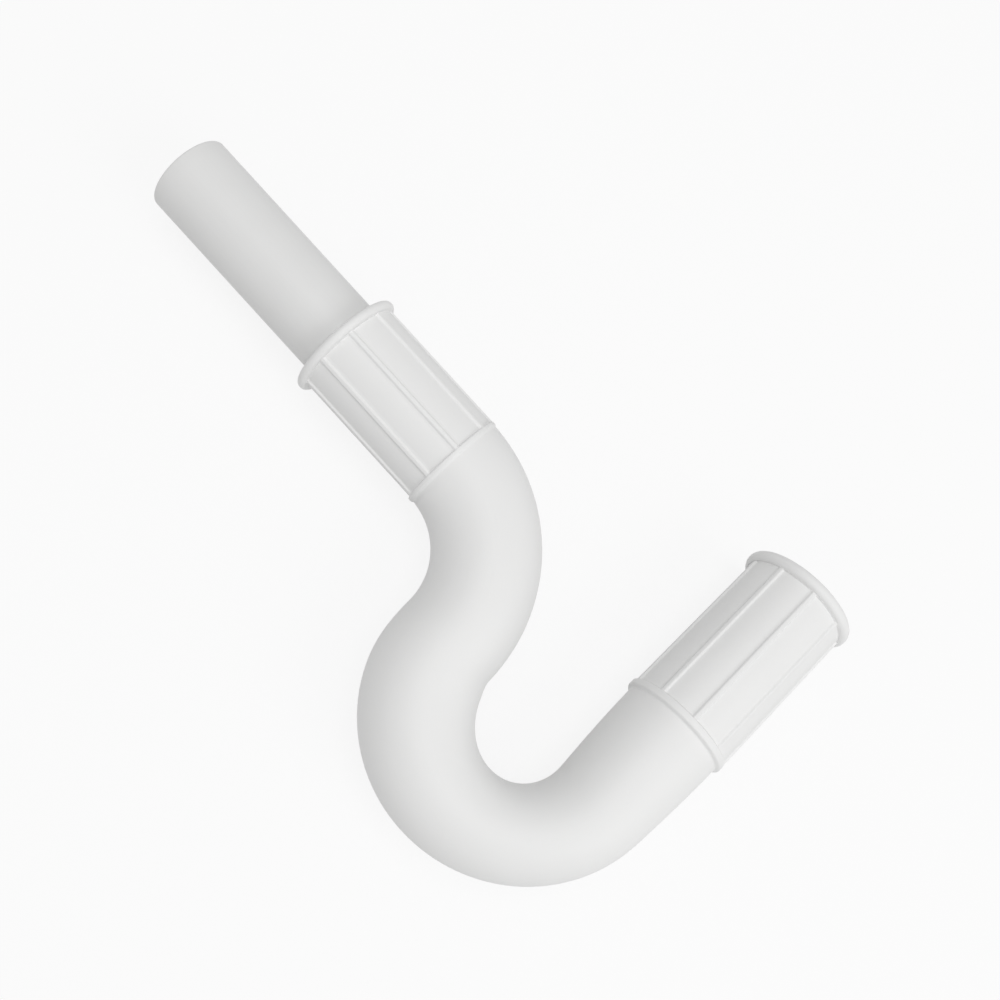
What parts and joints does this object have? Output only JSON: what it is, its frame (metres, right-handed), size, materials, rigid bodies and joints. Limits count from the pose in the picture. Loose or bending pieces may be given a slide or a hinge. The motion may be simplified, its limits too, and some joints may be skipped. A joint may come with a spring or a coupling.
{
  "type": "rubber waste trap",
  "caption": "Lying P-shaped waste trap: one white rubber moulding with a ribbed, beaded socket at each end and a U bend that holds the water seal, and a rigid outlet pipe that slides in one socket.",
  "frame": {"origin": "centre of the bounding box at floor level, with the trap lying on its side", "axes": "+Y along the inlet socket's axis, out of its mouth; -X along the outlet pipe, out of its free end; +Z up, square to the plane of the bends. Fitted under a basin, +Y points up and -X towards the wall."},
  "size_m": [0.3425, 0.1946, 0.055],
  "materials": {
    "rubber": "white moulded rubber, matt with a soft sheen",
    "pipe": "white extruded plastic, satin"
  },
  "bodies": {
    "trap": {"trap_body": "rubber"},
    "outlet": {"outlet_pipe": "pipe"}
  },
  "joints": [
    {"name": "outlet_slide", "type": "slide", "parent": "trap", "child": "outlet", "axis": [-1, 0, 0], "range_m": [-0.015, 0.03]}
  ]
}
